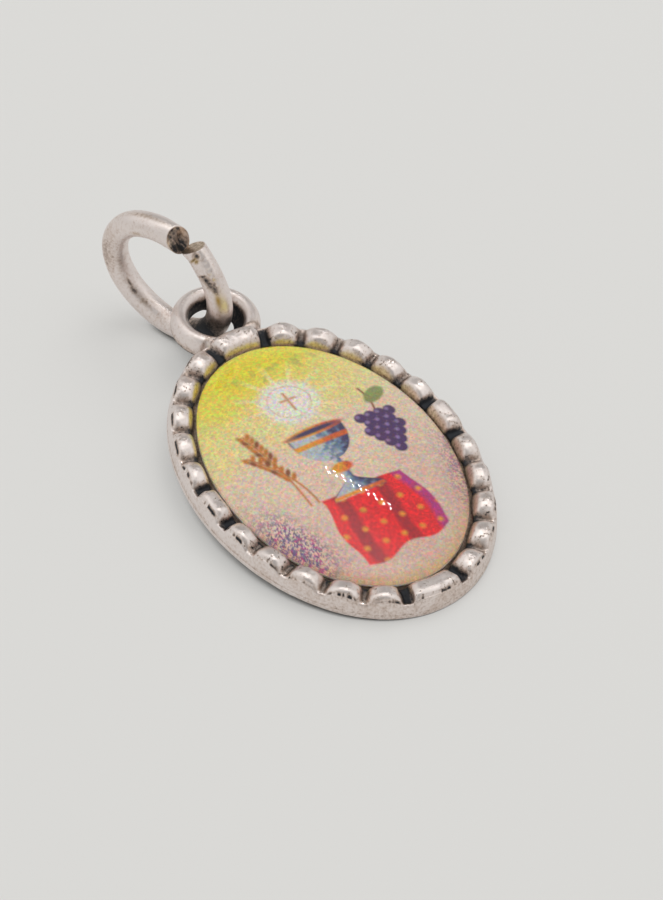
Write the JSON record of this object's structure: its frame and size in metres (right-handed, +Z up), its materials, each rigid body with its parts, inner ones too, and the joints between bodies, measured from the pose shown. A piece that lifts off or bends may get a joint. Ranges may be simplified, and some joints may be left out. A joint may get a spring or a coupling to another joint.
{
  "type": "religious medal pendant",
  "caption": "Oval picture medal in a beaded cast setting with a loop, a domed clear cover and an open split ring, lying on its back.",
  "frame": {"origin": "on the surface that the medal lies on, under the middle of its outline", "axes": "+Y from the medal's foot towards its loop and ring, +X to the right seen from the front, +Z up, out of the picture"},
  "size_m": [0.0122, 0.023, 0.0063],
  "materials": {
    "antiqued_silver_plate": "cast, silver plated and antiqued, dark in the grooves",
    "printed_card": "coloured print with a fine dot grain",
    "clear_resin": "clear, smooth and glossy",
    "plated_wire": "satin plated wire with pliers' marks"
  },
  "bodies": {
    "root": {"setting": "antiqued_silver_plate", "picture_card": "printed_card", "resin_dome": "clear_resin", "jump_ring": "plated_wire"}
  },
  "joints": []
}
